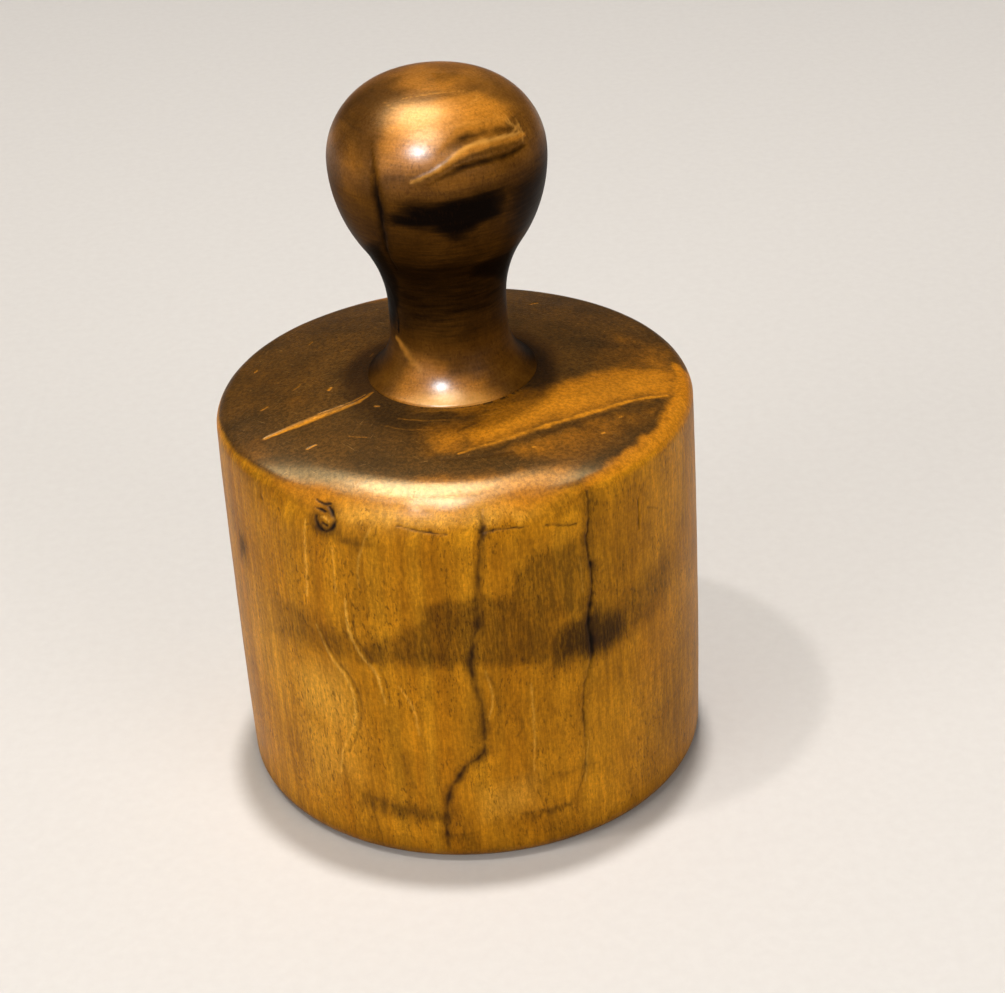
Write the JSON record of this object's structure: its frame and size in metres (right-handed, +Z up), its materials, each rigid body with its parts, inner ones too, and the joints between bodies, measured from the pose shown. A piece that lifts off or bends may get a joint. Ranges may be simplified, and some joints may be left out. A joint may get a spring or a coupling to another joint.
{
  "type": "pork pie mold",
  "caption": "Turned wooden pie mold: a barrelled round block with a domed top, which pastry is raised around, and a waisted knob handle tenoned and wedged into it.",
  "frame": {"origin": "centre of the flat base", "axes": "+Z up the turning axis, from the base to the knob; X and Y lie in the base, and the kerf of the hidden joint runs along X"},
  "size_m": [0.111, 0.111, 0.1715],
  "materials": {
    "block_wood": "old golden brown wood, waxed and worn, with drying cracks",
    "handle_wood": "dark reddish brown wood, polished by the hand",
    "wedge_wood": "bare split wood, unfinished"
  },
  "bodies": {
    "root": {"block": "block_wood", "handle": "handle_wood", "tenon_wedge": "wedge_wood"}
  },
  "joints": []
}
